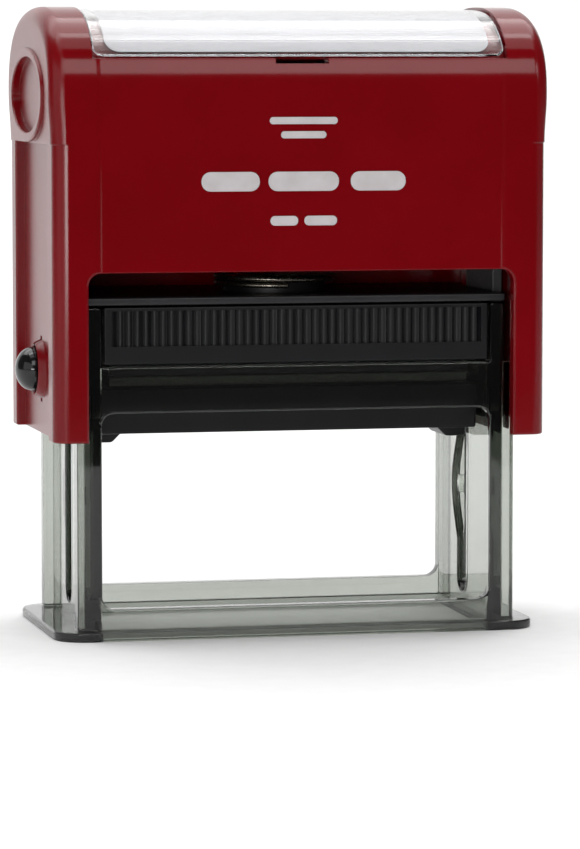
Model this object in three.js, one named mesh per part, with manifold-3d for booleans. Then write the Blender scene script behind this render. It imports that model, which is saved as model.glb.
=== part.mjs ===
// Self-inking stamp: a pressing cap drives a flipping platen inside a slotted base frame.
// Millimetres, +X to the right, +Y to the back, +Z up, origin under the middle of the foot.
import * as THREE from "three";
import { mergeVertices } from "three/addons/utils/BufferGeometryUtils.js";
import Module from "manifold-3d";

const wasm = await Module();
wasm.setup();

// Driving sizes
const gap = 0.3;
const below = 10; // lower than the cap's bottom, where its cuts start
const travel = 29.4;
const cap = {
  halfWidth: 39.3, halfDepth: 21, bottom: 31.2, top: 98.5, wall: 2.1, archCentre: 84.7,
  archPower: 2.5, edgeRound: 2.6, lobeInner: 33, lobeBulge: 0.5, lobeBottom: 77.2,
  saddleDrop: 1.9, windowFront: 90.4, sideWallInner: 36,
  openingHalf: 33.9, openingTop: 57.4, backOpeningTop: 51.4,
  grooveHalf: 15.2, grooveDepth: 1.5,
};
const ring = { halfY: 14.6, halfZ: 7.4, innerY: 13.2, innerZ: 5.95, depth: 1.3, rise: 0.4 };
const frameSize = {
  plateIn: 31.2, plateOut: 33.6, halfDepth: 17, wall: 2.4, top: 51.9, beamLow: 35.4, beamHigh: 42.6,
  skirtHigh: 4.8, footThick: 1.5, footHalfX: 38.6, footHalfY: 19.3, footRound: 5,
  flangeOut: 35.1, flangeDepth: 3,
};
const axle = { z: 36, radius: 1.5, slotHalf: 2.5, bush: 2.25, end: 35.4, inner: 27.3 };
const flip = { radius: 4.4, pin: 1.2, groove: 1.6, depth: 1.2, inner: 28.3 };
const die = { faceHigh: 6.55, halfY: 10, halfX: 29, thick: 1.3, relief: 0.35, foam: 1.4 };
const platenSize = {
  halfX: 30.6, halfY: 11, back: 4.3, front: 2.9, lugDrop: 6.2, lugHalfY: 4.6, lugIn: 25.4,
};
const barHalves = [18, 24, 14];
const button = {
  z: 41.4, radius: 3.5, tip: 42, collar: 39.2, wallOut: 37.8, shaft: 3.3, neck: 2.5, earIn: 35, earY: 4.8,
  seatRadius: 4.7, seatOut: 39,
};
const yoke = {
  inner: 34, outer: 35.6, armHalf: 8, plateHalf: 11.6, plateLow: 88, plateThick: 1.8, cupDeep: 3, low: 33,
};
const spring = { mean: 9.35, wire: 0.4, turns: 6, low: 54.1, high: 87.6 };
const tray = {
  low: 43, high: 51.9, halfX: 30.8, halfY: 16.9, wall: 1.3, feltHalf: 13.3, feltLow: 42.85,
  ribPitch: 1.35, ribDeep: 0.45, ribGap: 0.5, ribLow: 45.8, ribHigh: 51.3,
};
const bridge = { low: 52.2, high: 53.4, halfX: 33.6, halfY: 17.2, post: 8.25, postWall: 1.5, postHigh: 55.2 };
const card = { thick: 0.3, reach: 30.6 };
const cover = { thick: 0.9, reach: 32.7 };

// Solids: three.js shapes turned into manifold solids and back
function solid(geometry) {
  const bare = geometry.clone();
  bare.deleteAttribute("normal");
  bare.deleteAttribute("uv");
  const merged = mergeVertices(bare, 1e-4);
  return new wasm.Manifold(new wasm.Mesh({
    numProp: 3,
    vertProperties: new Float32Array(merged.attributes.position.array),
    triVerts: new Uint32Array(merged.index.array),
  }));
}

function geometryOf(body) {
  const mesh = body.getMesh();
  const geometry = new THREE.BufferGeometry();
  geometry.setAttribute("position", new THREE.BufferAttribute(mesh.vertProperties, 3));
  geometry.setIndex(new THREE.BufferAttribute(mesh.triVerts, 1));
  geometry.computeVertexNormals();
  return geometry;
}

function union(list) {
  return list.reduce((sum, item) => sum.add(item));
}

function box(x0, x1, y0, y1, z0, z1) {
  const geometry = new THREE.BoxGeometry(x1 - x0, y1 - y0, z1 - z0);
  return solid(geometry.translate((x0 + x1) / 2, (y0 + y1) / 2, (z0 + z1) / 2));
}

// A prism along X from a list of [y, z] points
function prismX(points, x0, x1) {
  const shape = new THREE.Shape(points.map(([y, z]) => new THREE.Vector2(y, z)));
  const geometry = new THREE.ExtrudeGeometry(shape, { depth: x1 - x0, bevelEnabled: false });
  const turn = new THREE.Matrix4().set(0, 0, 1, x0, 1, 0, 0, 0, 0, 1, 0, 0, 0, 0, 0, 1);
  return solid(geometry.applyMatrix4(turn));
}

// A prism along Y from a list of [x, z] points
function prismY(points, y0, y1) {
  const shape = new THREE.Shape(points.map(([x, z]) => new THREE.Vector2(x, z)));
  const geometry = new THREE.ExtrudeGeometry(shape, { depth: y1 - y0, bevelEnabled: false });
  const turn = new THREE.Matrix4().set(1, 0, 0, 0, 0, 0, -1, y1, 0, 1, 0, 0, 0, 0, 0, 1);
  return solid(geometry.applyMatrix4(turn));
}

// A prism along Z from a list of [x, y] points
function prismZ(points, z0, z1) {
  const shape = new THREE.Shape(points.map(([x, y]) => new THREE.Vector2(x, y)));
  const geometry = new THREE.ExtrudeGeometry(shape, { depth: z1 - z0, bevelEnabled: false });
  return solid(geometry.translate(0, 0, z0));
}

function discX(radius, x0, x1, y, z, sides = 24) {
  const geometry = new THREE.CylinderGeometry(radius, radius, x1 - x0, sides);
  return solid(geometry.rotateZ(Math.PI / 2).translate((x0 + x1) / 2, y, z));
}

function discZ(radius, z0, z1, sides = 40) {
  const geometry = new THREE.CylinderGeometry(radius, radius, z1 - z0, sides);
  return solid(geometry.rotateX(Math.PI / 2).translate(0, 0, (z0 + z1) / 2));
}

function mirrorX(body) {
  const geometry = geometryOf(body);
  geometry.scale(-1, 1, 1);
  const index = geometry.index.array;
  for (let i = 0; i < index.length; i += 3) [index[i], index[i + 1]] = [index[i + 1], index[i]];
  return solid(geometry);
}

// Outlines
function roundedRect(halfX, y0, y1, radius, steps = 5) {
  const points = [];
  const corners = [[halfX, y1, 0], [-halfX, y1, 1], [-halfX, y0, 2], [halfX, y0, 3]];
  for (const [x, y, quarter] of corners) {
    const cx = x - Math.sign(x) * radius;
    const cy = y + (quarter < 2 ? -radius : radius);
    for (let i = 0; i <= steps; i++) {
      const angle = (quarter + i / steps) * Math.PI / 2;
      points.push([cx + radius * Math.cos(angle), cy + radius * Math.sin(angle)]);
    }
  }
  return points;
}

function ellipse(halfA, halfB, cb, steps = 36) {
  return Array.from({ length: steps }, (_, i) => {
    const angle = i / steps * 2 * Math.PI;
    return [halfA * Math.cos(angle), cb + halfB * Math.sin(angle)];
  });
}

// The cap's side profile, straight sides under a superellipse arch, drawn in by inset (and by drop on top)
function archPoints(inset, low, drop = inset, steps = 26) {
  const a = cap.halfDepth - inset;
  const b = cap.top - cap.archCentre - drop;
  const points = [[-a, low], [a, low]];
  for (let i = 0; i <= steps; i++) {
    const angle = i / steps * Math.PI;
    const c = Math.cos(angle);
    const s = Math.sin(angle);
    const y = Math.sign(c) * a * Math.abs(c) ** (2 / cap.archPower);
    points.push([y, cap.archCentre + b * Math.abs(s) ** (2 / cap.archPower)]);
  }
  return points;
}

// A solid lofted along X through arch profiles, each station being [x, inset, drop]
function loftArch(stations, low) {
  const rings = stations.map(([x, inset, drop]) => archPoints(inset, low, drop).map(([y, z]) => [x, y, z]));
  const count = rings[0].length;
  const position = rings.flat(2);
  const index = [];
  for (let s = 0; s + 1 < rings.length; s++) {
    for (let i = 0; i < count; i++) {
      const a = s * count + i;
      const b = s * count + (i + 1) % count;
      index.push(a, b, a + count, b, b + count, a + count);
    }
  }
  for (const [start, order] of [[0, -1], [(rings.length - 1) * count, 1]]) {
    for (let i = 1; i + 1 < count; i++) {
      if (order > 0) index.push(start, start + i, start + i + 1);
      else index.push(start, start + i + 1, start + i);
    }
  }
  const geometry = new THREE.BufferGeometry();
  geometry.setAttribute("position", new THREE.Float32BufferAttribute(position, 3));
  geometry.setIndex(index);
  return solid(geometry);
}

// Stations of a body reaching halfWidth each way, its end edges rounded by radius
function roundedStations(halfWidth, radius, steps = 4) {
  const right = Array.from({ length: steps + 1 }, (_, i) => {
    const angle = i / steps * Math.PI / 2;
    return [halfWidth - radius * (1 - Math.sin(angle)), radius * (1 - Math.cos(angle))];
  });
  return right.map(([x, inset]) => [-x, inset]).reverse().concat(right);
}

// A span on the left or right side, given by its distances from the middle
function spanX(s, near, far) {
  return s < 0 ? [-far, -near] : [near, far];
}

// Parts
const stamp = new THREE.Group();

function add(name, body, color, roughness, metalness = 0) {
  const material = new THREE.MeshStandardMaterial({ color, roughness, metalness });
  const mesh = new THREE.Mesh(geometryOf(body), material);
  mesh.name = name;
  stamp.add(mesh);
}

function outerCap() {
  const c = cap;
  const bulgeHalf = c.halfWidth + c.lobeBulge;
  let body = loftArch(roundedStations(c.halfWidth, c.edgeRound), c.bottom);
  body = body.add(loftArch(roundedStations(bulgeHalf, c.edgeRound), c.lobeBottom));
  // hollow inside, the saddle under the window, and the open front and back
  const ceiling = c.wall + c.saddleDrop;
  const hollow = [-c.sideWallInner, c.sideWallInner].map((x) => [x, c.wall, ceiling]);
  body = body.subtract(loftArch(hollow, below));
  const overWindow = box(-c.lobeInner, c.lobeInner, -c.halfDepth, c.halfDepth, c.windowFront, c.top + 1);
  const saddle = [-c.lobeInner - 1, c.lobeInner + 1].map((x) => [x, c.saddleDrop]);
  body = body.subtract(overWindow.subtract(loftArch(saddle, below)));
  const innerDepth = c.halfDepth - c.wall;
  const front = roundedRect(c.openingHalf, below, c.openingTop, 2);
  const back = roundedRect(c.openingHalf, below, c.backOpeningTop, 2);
  body = body.subtract(prismY(front, -c.halfDepth - 1, -innerDepth));
  body = body.subtract(prismY(back, innerDepth, c.halfDepth + 1));
  for (const s of [-1, 1]) {
    const groove = spanX(s, c.halfWidth - c.grooveDepth, bulgeHalf + 1);
    body = body.subtract(box(...groove, -c.grooveHalf, c.grooveHalf, below, c.lobeBottom));
    // a raised round seat with the lock button's hole through it
    const seat = discX(button.seatRadius, ...spanX(s, button.wallOut - 0.5, button.seatOut), 0, button.z, 32);
    const hole = discX(button.radius + gap, ...spanX(s, c.sideWallInner - 1, bulgeHalf), 0, button.z, 32);
    body = body.add(seat).subtract(hole);
    // raised oval ring with a dished floor on each lobe
    const bandSpan = spanX(s, bulgeHalf - 1, bulgeHalf + ring.rise);
    const dishSpan = spanX(s, bulgeHalf + ring.rise - ring.depth, bulgeHalf + 1);
    const band = prismX(ellipse(ring.halfY, ring.halfZ, c.archCentre), ...bandSpan);
    const dish = prismX(ellipse(ring.innerY, ring.innerZ, c.archCentre), ...dishSpan);
    body = body.add(band).subtract(dish);
  }
  return body;
}

// A thin sheet bent over the saddle, its upper face drawn in from the lobes' profile by inset
function archSheet(inset, thick, reach) {
  const shell = loftArch([[-reach, inset], [reach, inset]], 60)
    .subtract(loftArch([[-reach - 1, inset + thick], [reach + 1, inset + thick]], 50));
  return shell.subtract(box(-60, 60, -40, 40, 0, cap.windowFront + gap));
}

// The track that a flip pin sweeps in the side plate while the cap goes down and the platen turns over
function flipTrack() {
  const steps = 20;
  const stops = Array.from({ length: steps + 1 }, (_, i) => {
    const turn = i / steps * Math.PI;
    const z = axle.z - travel * i / steps - flip.radius * Math.cos(turn);
    const span = [frameSize.plateIn - 0.5, frameSize.plateIn + flip.depth];
    return discX(flip.groove, ...span, flip.radius * Math.sin(turn), z, 14);
  });
  return union(stops.slice(1).map((stop, i) => wasm.Manifold.hull([stops[i], stop])));
}

function baseFrame() {
  const f = frameSize;
  const side = box(f.plateIn, f.plateOut, -f.halfDepth, f.halfDepth, 0, f.top);
  const flangeY = f.halfDepth - f.flangeDepth;
  const rails = [[-f.halfDepth, -flangeY], [flangeY, f.halfDepth]].map((span) => (
    box(f.plateOut - 0.2, f.flangeOut, ...span, 0, f.beamHigh)
  ));
  const slotLow = axle.z - travel;
  const slot = union([
    box(f.plateIn - 1, f.plateOut + 1, -axle.slotHalf, axle.slotHalf, slotLow, axle.z),
    discX(axle.slotHalf, f.plateIn - 1, f.plateOut + 1, 0, slotLow),
    discX(axle.slotHalf, f.plateIn - 1, f.plateOut + 1, 0, axle.z),
  ]);
  const plate = union([side, ...rails]);
  const cuts = slot.add(flipTrack());
  const foot = prismZ(roundedRect(f.footHalfX, -f.footHalfY, f.footHalfY, f.footRound), 0, f.footThick);
  // front and back walls in one block, cut by the paper gap and hollowed between
  const innerDepth = f.halfDepth - f.wall;
  const walls = box(-f.plateIn - 0.5, f.plateIn + 0.5, -f.halfDepth, f.halfDepth, 0, f.beamHigh)
    .subtract(prismY(roundedRect(f.plateIn, f.skirtHigh, f.beamLow, 2), -f.halfDepth - 1, f.halfDepth + 1));
  const well = box(-f.plateIn, f.plateIn, -innerDepth, innerDepth, -1, f.beamHigh + 1);
  const uncut = union([foot.add(walls).subtract(well), plate, mirrorX(plate)]);
  return uncut.subtract(cuts).subtract(mirrorX(cuts));
}

function padTray() {
  const t = tray;
  const inside = t.halfX - t.wall;
  const body = box(-t.halfX, t.halfX, -t.halfY, t.halfY, t.low, t.high)
    .subtract(box(-inside, inside, -t.feltHalf, t.feltHalf, t.low - 1, t.high - t.wall));
  const count = Math.floor((2 * t.halfX - 2) / t.ribPitch);
  const cuts = [];
  for (let i = 0; i < count; i++) {
    const x = (i - (count - 1) / 2) * t.ribPitch;
    for (const s of [-1, 1]) {
      const face = s * t.halfY;
      const [y0, y1] = [face - t.ribDeep, face + t.ribDeep];
      cuts.push(box(x - t.ribGap / 2, x + t.ribGap / 2, y0, y1, t.ribLow, t.ribHigh));
    }
  }
  return body.subtract(union(cuts));
}

function inkFelt() {
  const x = tray.halfX - tray.wall - gap;
  const y = tray.feltHalf - gap;
  return box(-x, x, -y, y, tray.feltLow, tray.high - tray.wall - gap);
}

function topBridge() {
  const b = bridge;
  const post = discZ(b.post, b.high - 0.2, b.postHigh)
    .subtract(discZ(b.post - b.postWall, b.high, b.postHigh + 1));
  return box(-b.halfX, b.halfX, -b.halfY, b.halfY, b.low, b.high).add(post);
}

function platenBody() {
  const p = platenSize;
  const z = axle.z;
  const back = z - p.back;
  let body = box(-p.halfX, p.halfX, -p.halfY, p.halfY, back, z + p.front);
  const slope = p.lugDrop - p.back;
  const lug = prismY([
    [p.lugIn, back + gap], [p.lugIn, back], [p.lugIn + slope, back - slope],
    [p.halfX, back - slope], [p.halfX, back + gap],
  ], -p.lugHalfY, p.lugHalfY);
  body = body.add(lug).add(mirrorX(lug));
  for (const s of [-1, 1]) {
    body = body.subtract(discX(axle.radius + gap, ...spanX(s, axle.inner - gap, 40), 0, z, 20));
    body = body.subtract(discX(flip.pin + gap, ...spanX(s, flip.inner - gap, 40), 0, z - flip.radius, 16));
  }
  return body;
}

// The die faces up at rest, with a plain border and three bars where the lettering would stand
function rubberDie() {
  const d = die;
  const top = axle.z + d.faceHigh;
  const ground = top - d.relief;
  const rim = box(-d.halfX, d.halfX, -d.halfY, d.halfY, ground - 0.1, top)
    .subtract(box(1 - d.halfX, d.halfX - 1, 1 - d.halfY, d.halfY - 1, ground - 1, top + 1));
  const bars = barHalves.map((half, i) => {
    const y = (i - 1) * 5.4;
    return box(-half, half, y - 1.2, y + 1.2, ground - 0.1, top);
  });
  return union([box(-d.halfX, d.halfX, -d.halfY, d.halfY, ground - d.thick, ground), rim, ...bars]);
}

function dieFoam() {
  const top = axle.z + die.faceHigh - die.relief - die.thick - gap;
  return box(-die.halfX, die.halfX, -die.halfY, die.halfY, top - die.foam, top);
}

function driveYoke() {
  const y = yoke;
  const cupIn = spring.mean + spring.wire + 0.6;
  const cup = discZ(cupIn + 1.2, y.plateLow - y.cupDeep, y.plateLow + 0.2);
  const plate = box(-y.outer, y.outer, -y.plateHalf, y.plateHalf, y.plateLow, y.plateLow + y.plateThick);
  const parts = [plate.add(cup).subtract(discZ(cupIn, y.plateLow - y.cupDeep - 1, y.plateLow))];
  for (const s of [-1, 1]) {
    const through = spanX(s, y.inner - 1, y.outer + 1);
    parts.push(box(...spanX(s, y.inner, y.outer), -y.armHalf, y.armHalf, y.low, y.plateLow + 0.2)
      .subtract(discX(axle.radius + gap, ...through, 0, axle.z, 20))
      .subtract(box(...through, -button.earY - gap, button.earY + gap, button.z - 2.8, button.z + 2.8)));
  }
  return union(parts);
}

// A push button: dome outside the wall, shaft through it, and a neck with two ears inside that keep it in
function sideButton(s) {
  const b = button;
  const neck = discX(b.neck, ...spanX(s, b.earIn, b.wallOut - 0.5), 0, b.z);
  const shaft = discX(b.shaft, ...spanX(s, 37, b.collar + 0.1), 0, b.z, 32);
  const ears = box(...spanX(s, b.earIn, b.earIn + 0.7), -b.earY, b.earY, b.z - 2.4, b.z + 2.4);
  const arc = Array.from({ length: 7 }, (_, i) => {
    const angle = i / 6 * Math.PI / 2;
    return new THREE.Vector2(i < 6 ? b.radius * Math.cos(angle) : 0, (b.tip - b.collar) * Math.sin(angle));
  });
  const dome = new THREE.LatheGeometry([new THREE.Vector2(0, 0), ...arc], 32);
  dome.rotateZ(-s * Math.PI / 2).translate(s * b.collar, 0, b.z);
  return union([neck, shaft, ears, solid(dome)]);
}

function slotBush(s) {
  const span = spanX(s, frameSize.plateIn + gap, frameSize.plateOut);
  return discX(axle.bush, ...span, 0, axle.z, 28)
    .subtract(discX(axle.radius + gap, ...spanX(s, 30, 35), 0, axle.z, 20));
}

function springCoil() {
  class Helix extends THREE.Curve {
    getPoint(t, target = new THREE.Vector3()) {
      const angle = t * spring.turns * 2 * Math.PI;
      const z = spring.low + spring.wire + t * (spring.high - spring.low - 2 * spring.wire);
      return target.set(-spring.mean * Math.sin(angle), -spring.mean * Math.cos(angle), z);
    }
  }
  const section = new THREE.Shape();
  const sides = 6;
  for (let i = 0; i < sides; i++) {
    const angle = i / sides * 2 * Math.PI;
    const p = [spring.wire * Math.cos(angle), spring.wire * Math.sin(angle)];
    if (i === 0) section.moveTo(...p);
    else section.lineTo(...p);
  }
  const geometry = new THREE.ExtrudeGeometry(section, { steps: spring.turns * 20, extrudePath: new Helix() });
  return solid(geometry);
}

const red = 0x8a0512;
const black = 0x1b1b1d;

add("base_frame", baseFrame(), 0xb4bab4, 0.15);
add("top_bridge", topBridge(), black, 0.4);
add("ink_pad_tray", padTray(), black, 0.45);
add("ink_felt", inkFelt(), 0x25253a, 0.95);
add("return_spring", springCoil(), 0xa09a8c, 0.3, 1);
add("outer_cap", outerCap(), red, 0.2);
add("drive_yoke", driveYoke(), 0x303034, 0.4);
const cardDrop = cap.saddleDrop - gap - card.thick;
add("index_card", archSheet(cardDrop, card.thick, card.reach), 0xf0f0f6, 0.8);
add("window_cover", archSheet(cardDrop - gap - cover.thick, cover.thick, cover.reach), 0xdfe6ea, 0.05);
add("platen", platenBody(), black, 0.4);
add("die_foam", dieFoam(), 0x6a6a66, 0.95);
add("rubber_die", rubberDie(), 0x323335, 0.7);
for (const s of [-1, 1]) {
  const side = s < 0 ? "left" : "right";
  const grooveEnd = frameSize.plateIn + flip.depth - gap;
  add(`${side}_axle_pin`, discX(axle.radius, ...spanX(s, axle.inner, axle.end), 0, axle.z), 0xb8b8bc, 0.3, 1);
  add(`${side}_flip_pin`, discX(flip.pin, ...spanX(s, flip.inner, grooveEnd), 0, axle.z - flip.radius, 18),
    0x6e7072, 0.4);
  add(`${side}_slot_bush`, slotBush(s), 0xd8d8d2, 0.5);
  add(`${side}_button`, sideButton(s), black, 0.25);
}

export default stamp;
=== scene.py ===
import math

import bmesh
import bpy
import numpy as np
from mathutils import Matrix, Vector


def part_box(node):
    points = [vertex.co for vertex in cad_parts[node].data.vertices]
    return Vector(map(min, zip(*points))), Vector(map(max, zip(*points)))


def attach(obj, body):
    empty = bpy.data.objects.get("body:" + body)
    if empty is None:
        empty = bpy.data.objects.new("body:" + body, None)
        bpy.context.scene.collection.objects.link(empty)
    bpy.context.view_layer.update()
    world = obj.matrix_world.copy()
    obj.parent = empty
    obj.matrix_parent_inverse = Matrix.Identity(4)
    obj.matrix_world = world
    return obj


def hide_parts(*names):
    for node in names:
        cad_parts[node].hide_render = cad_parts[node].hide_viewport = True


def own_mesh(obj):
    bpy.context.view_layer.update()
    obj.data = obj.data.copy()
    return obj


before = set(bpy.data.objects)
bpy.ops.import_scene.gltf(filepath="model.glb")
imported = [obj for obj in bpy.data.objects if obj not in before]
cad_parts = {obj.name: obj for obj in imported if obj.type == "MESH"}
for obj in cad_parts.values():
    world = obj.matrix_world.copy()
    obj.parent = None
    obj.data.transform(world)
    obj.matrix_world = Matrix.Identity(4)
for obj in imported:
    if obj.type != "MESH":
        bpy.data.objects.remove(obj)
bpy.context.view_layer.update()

mmToM = 0.001


def boxOf(node):
    # lowest and highest corner of a CAD node in millimetres
    low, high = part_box(node)
    return np.array(low) / mmToM, np.array(high) / mmToM


def meshObject(name, points, faces):
    # points are in millimetres; every face is a list of indices
    mesh = bpy.data.meshes.new(name)
    mesh.from_pydata((np.asarray(points, float) * mmToM).tolist(), [], faces)
    mesh.validate()
    obj = bpy.data.objects.new(name, mesh)
    bpy.context.scene.collection.objects.link(obj)
    return obj


def turnOut(obj):
    # merges doubles and points all faces outwards
    work = bmesh.new()
    work.from_mesh(obj.data)
    bmesh.ops.remove_doubles(work, verts=work.verts, dist=2e-6)
    bmesh.ops.recalc_face_normals(work, faces=work.faces)
    work.to_mesh(obj.data)
    work.free()
    return obj


def stackLoops(name, loops, rungs=None):
    # loops is an array (sections, points, 3) of closed rings, joined by quads and closed by a flat face at
    # each end, or, where the ring is left-right alike, by rungs between its two sides, the first of them
    # between points rungs - 1 and rungs
    loops = np.asarray(loops, float)
    count, size = loops.shape[:2]
    near = np.arange(size)
    far = (near + 1) % size
    quads = [np.stack([s * size + near, s * size + far, (s + 1) * size + far, (s + 1) * size + near], 1)
             for s in range(count - 1)]
    faces = np.concatenate(quads).tolist()
    if rungs is None:
        faces += [near[::-1].tolist(), ((count - 1) * size + near).tolist()]
    else:
        step = np.arange(size // 2)
        a, b = (rungs - 1 - step) % size, (rungs + step) % size
        ladder = np.stack([a[:-1], b[:-1], b[1:], a[1:]], 1)
        faces += ladder[:, ::-1].tolist() + ((count - 1) * size + ladder).tolist()
        if size % 2:
            last = [int(a[-1]), int(b[-1]), int((b[-1] + 1) % size)]
            faces += [last[::-1], [(count - 1) * size + i for i in last]]
    return turnOut(meshObject(name, loops.reshape(-1, 3), faces))


def placed(outline, axis, value):
    # an outline of (a, b) points set across an axis: x takes (y, z), y takes (x, z), z takes (x, y)
    outline = np.asarray(outline, float)
    flat = np.full(len(outline), float(value))
    columns = {"x": (flat, outline[:, 0], outline[:, 1]), "y": (outline[:, 0], flat, outline[:, 1]),
               "z": (outline[:, 0], outline[:, 1], flat)}[axis]
    return np.stack(columns, 1)


def prism(name, outline, axis, low, high):
    return stackLoops(name, [placed(outline, axis, low), placed(outline, axis, high)])


def block(name, low, high):
    (x0, y0, z0), (x1, y1, z1) = low, high
    return prism(name, [(x0, y0), (x1, y0), (x1, y1), (x0, y1)], "z", z0, z1)


def roundedRect(halfA, low, high, radius, steps=10):
    # a rectangle from -halfA to halfA and from low to high whose corners are quarter circles
    turn = np.linspace(0, math.pi / 2, steps + 1)
    parts = []
    for k, (sa, b) in enumerate([(1, high), (-1, high), (-1, low), (1, low)]):
        angle = turn + k * math.pi / 2
        centreB = b - radius if b == high else b + radius
        parts.append(np.stack([sa * (halfA - radius) + radius * np.cos(angle), centreB + radius * np.sin(angle)], 1))
    return np.concatenate(parts)


def ellipse(halfA, halfB, centreB=0.0, steps=96):
    angle = np.arange(steps) / steps * 2 * math.pi
    return np.stack([halfA * np.cos(angle), centreB + halfB * np.sin(angle)], 1)


def lathe(name, profile, axis, centre, sides=64):
    # a closed profile of (radius, height) points turned round an axis through centre; heights run along the axis
    profile = np.asarray(profile, float)
    angle = np.arange(sides) / sides * 2 * math.pi
    a = np.outer(np.cos(angle), profile[:, 0])
    b = np.outer(np.sin(angle), profile[:, 0])
    h = np.tile(profile[:, 1], (sides, 1))
    order = {"x": (h, a, b), "z": (a, b, h)}[axis]
    points = np.stack(order, 2) + np.asarray(centre, float)
    size = len(profile)
    near = np.arange(size - 1)
    faces = []
    for s in range(sides):
        t = (s + 1) % sides
        faces.append(np.stack([s * size + near, s * size + near + 1, t * size + near + 1, t * size + near], 1))
    return turnOut(meshObject(name, points.reshape(-1, 3), np.concatenate(faces).tolist()))


def pinProfile(radius, low, high, edge):
    # a plain round bar whose ends are rounded by edge
    turn = np.linspace(0, math.pi / 2, 5)
    lower = np.stack([radius - edge + edge * np.sin(turn), low + edge - edge * np.cos(turn)], 1)
    upper = lower[::-1] * [1, -1] + [0, low + high]
    return np.concatenate([[(0, low)], lower, upper, [(0, high)]])


def ringProfile(inner, outer, low, high, edge):
    # a tube's wall section: a small rectangle with its four corners cut by edge, closed on itself
    return [(inner + edge, low), (outer - edge, low), (outer, low + edge), (outer, high - edge),
            (outer - edge, high), (inner + edge, high), (inner, high - edge), (inner, low + edge),
            (inner + edge, low)]


def baked(obj):
    # the object's modifiers worked into its mesh
    bpy.context.view_layer.update()
    source = obj.evaluated_get(bpy.context.evaluated_depsgraph_get())
    mesh = bpy.data.meshes.new_from_object(source)
    obj.modifiers.clear()
    obj.data = mesh
    mesh.name = obj.name
    return obj


def combine(target, tools, operation):
    for tool in tools:
        step = target.modifiers.new("combine", "BOOLEAN")
        step.operation = operation
        step.solver = "EXACT"
        step.object = tool
    baked(target)
    for tool in tools:
        bpy.data.objects.remove(tool)
    return target


def cut(target, *tools):
    return combine(target, tools, "DIFFERENCE")


def join(target, *tools):
    return combine(target, tools, "UNION")


def cleaned(obj, flat=0.3):
    # drops the slivers and the needless edges that cutting leaves on flat faces
    work = bmesh.new()
    work.from_mesh(obj.data)
    bmesh.ops.remove_doubles(work, verts=work.verts, dist=8e-6)
    bmesh.ops.dissolve_degenerate(work, edges=work.edges, dist=4e-6)
    bmesh.ops.dissolve_limit(work, angle_limit=math.radians(flat), verts=work.verts, edges=work.edges)
    bmesh.ops.delete(work, geom=[v for v in work.verts if not v.link_faces], context="VERTS")
    work.to_mesh(obj.data)
    work.free()
    return obj


def softened(obj, width, segments=3, angle=32):
    # rounds every edge sharper than angle by width, in millimetres
    cleaned(obj)
    step = obj.modifiers.new("soften", "BEVEL")
    step.width = width * mmToM
    step.segments = segments
    step.limit_method = "ANGLE"
    step.angle_limit = math.radians(angle)
    step.use_clamp_overlap = False
    step.miter_outer = "MITER_ARC"
    return baked(obj)


def shaded(obj, angle=38):
    # smooth shading with edges kept sharp past angle, and normals weighted towards the large faces
    mesh = obj.data
    mesh.polygons.foreach_set("use_smooth", np.ones(len(mesh.polygons), bool))
    mesh.set_sharp_from_angle(angle=math.radians(angle))
    step = obj.modifiers.new("evenNormals", "WEIGHTED_NORMAL")
    step.keep_sharp = True
    return obj


def finished(obj, body, material, nodes, angle=38):
    shaded(obj, angle)
    obj.data.materials.clear()
    obj.data.materials.append(material)
    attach(obj, body)
    if nodes:
        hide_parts(*nodes)
    return obj


def colour(hexText):
    # an sRGB hex colour as linear numbers
    parts = [int(hexText[i:i + 2], 16) / 255 for i in (0, 2, 4)]
    return (*[p / 12.92 if p <= 0.04045 else ((p + 0.055) / 1.055) ** 2.4 for p in parts], 1.0)


def node(tree, kind, settings=None, links=None):
    # adds a node, sets its properties or sockets by name, and links its sockets from other nodes' sockets
    made = tree.nodes.new(kind)
    for key, value in (settings or {}).items():
        if isinstance(key, str) and hasattr(made, key):
            setattr(made, key, value)
        else:
            made.inputs[key].default_value = value
    for key, source in (links or {}).items():
        tree.links.new(source, made.inputs[key])
    return made


def newMaterial(name):
    material = bpy.data.materials.new(name)
    material.use_nodes = True
    tree = material.node_tree
    tree.nodes.clear()
    shader = node(tree, "ShaderNodeBsdfPrincipled")
    output = node(tree, "ShaderNodeOutputMaterial", links={"Surface": shader.outputs[0]})
    place = node(tree, "ShaderNodeTexCoord")
    return material, tree, shader, output, place.outputs["Object"]


def noiseAt(tree, place, sizeMm, detail=3.0, stretch=(1, 1, 1)):
    # a noise whose lumps are about sizeMm across, stretched by dividing each axis
    scale = node(tree, "ShaderNodeMapping", {"Scale": tuple(1 / s for s in stretch)}, {"Vector": place})
    return node(tree, "ShaderNodeTexNoise", {"Scale": 1000 / sizeMm, "Detail": detail}, {"Vector": scale.outputs[0]})


def spread(tree, value, low, high, fromLow=0.3, fromHigh=0.7):
    made = node(tree, "ShaderNodeMapRange", {1: fromLow, 2: fromHigh, 3: low, 4: high}, {0: value})
    return made.outputs[0]


def tint(tree, value, first, second):
    ramp = node(tree, "ShaderNodeValToRGB", links={"Fac": value})
    ramp.color_ramp.elements[0].position = 0.3
    ramp.color_ramp.elements[1].position = 0.7
    ramp.color_ramp.elements[0].color = colour(first)
    ramp.color_ramp.elements[1].color = colour(second)
    return ramp.outputs["Color"]


def relief(tree, height, depthMm):
    # Blender's bump distance is in metres
    made = node(tree, "ShaderNodeBump", {"Distance": depthMm * mmToM, "Strength": 1.0}, {"Height": height})
    return made.outputs[0]


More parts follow.
